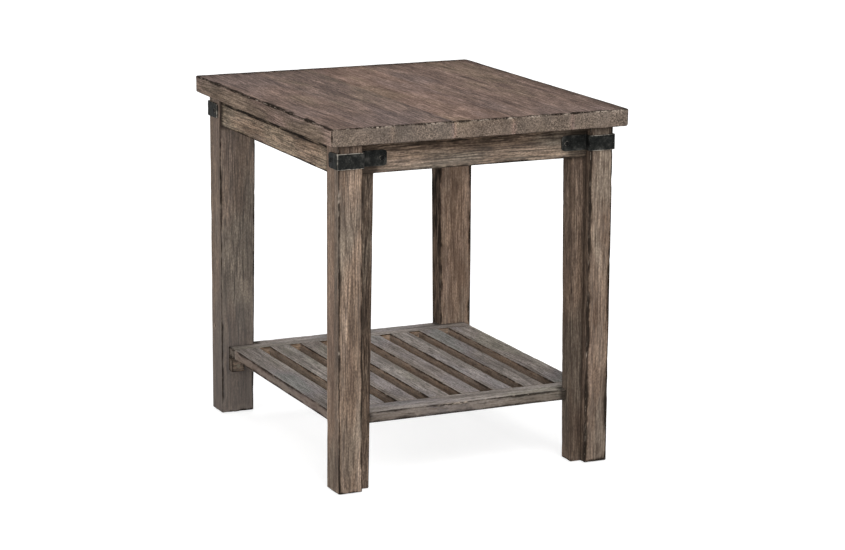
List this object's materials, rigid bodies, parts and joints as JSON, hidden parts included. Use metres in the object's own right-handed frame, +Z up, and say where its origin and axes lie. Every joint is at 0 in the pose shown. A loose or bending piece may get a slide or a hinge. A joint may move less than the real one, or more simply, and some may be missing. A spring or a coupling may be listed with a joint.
{
  "type": "rustic end table",
  "caption": "Rectangular wooden end table with a thick plank top, rebated corner legs, black iron corner straps and a low slatted shelf.",
  "frame": {"origin": "on the floor under the middle of the top", "axes": "+X to the right along the short side of the top, +Y from the front to the back along its long side, +Z up"},
  "size_m": [0.59, 0.686, 0.671],
  "materials": {
    "top_wood": "grey-brown glazed hickory, satin, burnished edges",
    "frame_wood": "weathered brown hickory, dark glaze in corners, matt",
    "shelf_wood": "weathered grey hickory, matt",
    "inner_wood": "plain secondary wood, matt",
    "iron": "black hammered iron, low gloss",
    "screw_steel": "zinc-plated steel",
    "glide_plastic": "brown nylon, matt"
  },
  "bodies": {
    "root": {"apron_back": "frame_wood", "apron_front": "frame_wood", "apron_left": "frame_wood", "apron_right": "frame_wood", "button_screws": "screw_steel", "cleat_screws": "screw_steel", "corner_block_back_left": "inner_wood", "corner_block_back_right": "inner_wood", "corner_block_front_left": "inner_wood", "corner_block_front_right": "inner_wood", "corner_block_screws": "screw_steel", "foot_glides": "glide_plastic", "leg_face_back_left": "frame_wood", "leg_face_back_right": "frame_wood", "leg_face_front_left": "frame_wood", "leg_face_front_right": "frame_wood", "leg_post_back_left": "frame_wood", "leg_post_back_right": "frame_wood", "leg_post_front_left": "frame_wood", "leg_post_front_right": "frame_wood", "shelf_cleat_back_left": "inner_wood", "shelf_cleat_back_right": "inner_wood", "shelf_cleat_front_left": "inner_wood", "shelf_cleat_front_right": "inner_wood", "shelf_rail_back": "shelf_wood", "shelf_rail_front": "shelf_wood", "shelf_rail_left": "shelf_wood", "shelf_rail_right": "shelf_wood", "shelf_screws": "screw_steel", "shelf_slat_1": "shelf_wood", "shelf_slat_2": "shelf_wood", "shelf_slat_3": "shelf_wood", "shelf_slat_4": "shelf_wood", "shelf_slat_5": "shelf_wood", "shelf_slat_6": "shelf_wood", "strap_back_left": "iron", "strap_back_right": "iron", "strap_bolts": "iron", "strap_front_left": "iron", "strap_front_right": "iron", "top_board_1": "top_wood", "top_board_2": "top_wood", "top_board_3": "top_wood", "top_board_4": "top_wood", "top_board_5": "top_wood", "top_buttons": "inner_wood", "top_dowels": "inner_wood"}
  },
  "joints": []
}
